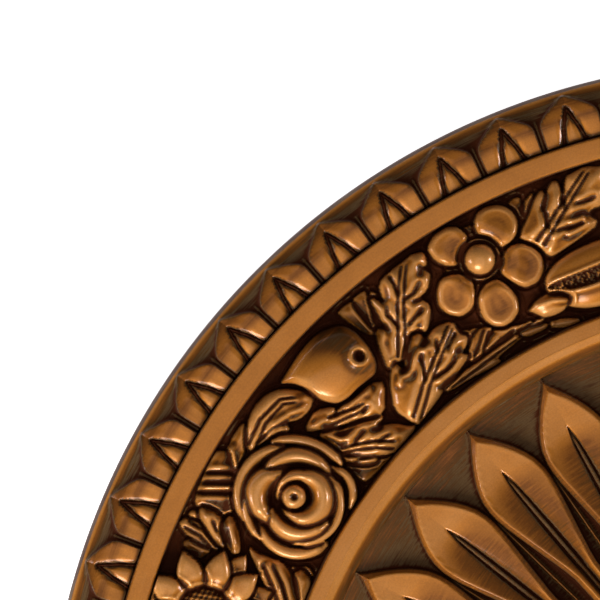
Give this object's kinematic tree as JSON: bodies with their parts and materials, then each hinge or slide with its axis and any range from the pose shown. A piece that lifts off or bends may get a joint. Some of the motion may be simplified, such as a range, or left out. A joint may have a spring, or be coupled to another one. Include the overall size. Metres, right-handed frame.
{
  "type": "ceiling medallion",
  "caption": "Round moulded ceiling medallion: leaf border, flat band, fruit and flower garland, and a rosette of grooved petals round a plain seat for a light's canopy.",
  "frame": {"origin": "centre of the flat back, on the plane of the ceiling that it is fixed to", "axes": "+Z out of the carved face, away from the ceiling: the medallion is modelled face up, lying on its back; +X and +Y lie in the back"},
  "size_m": [0.7618, 0.7616, 0.0375],
  "materials": {
    "antique_bronze": "rubbed antique copper and bronze paint with dark glaze in the recesses, satin, on a moulded rigid foam body"
  },
  "bodies": {
    "root": {"medallion": "antique_bronze"}
  },
  "joints": []
}
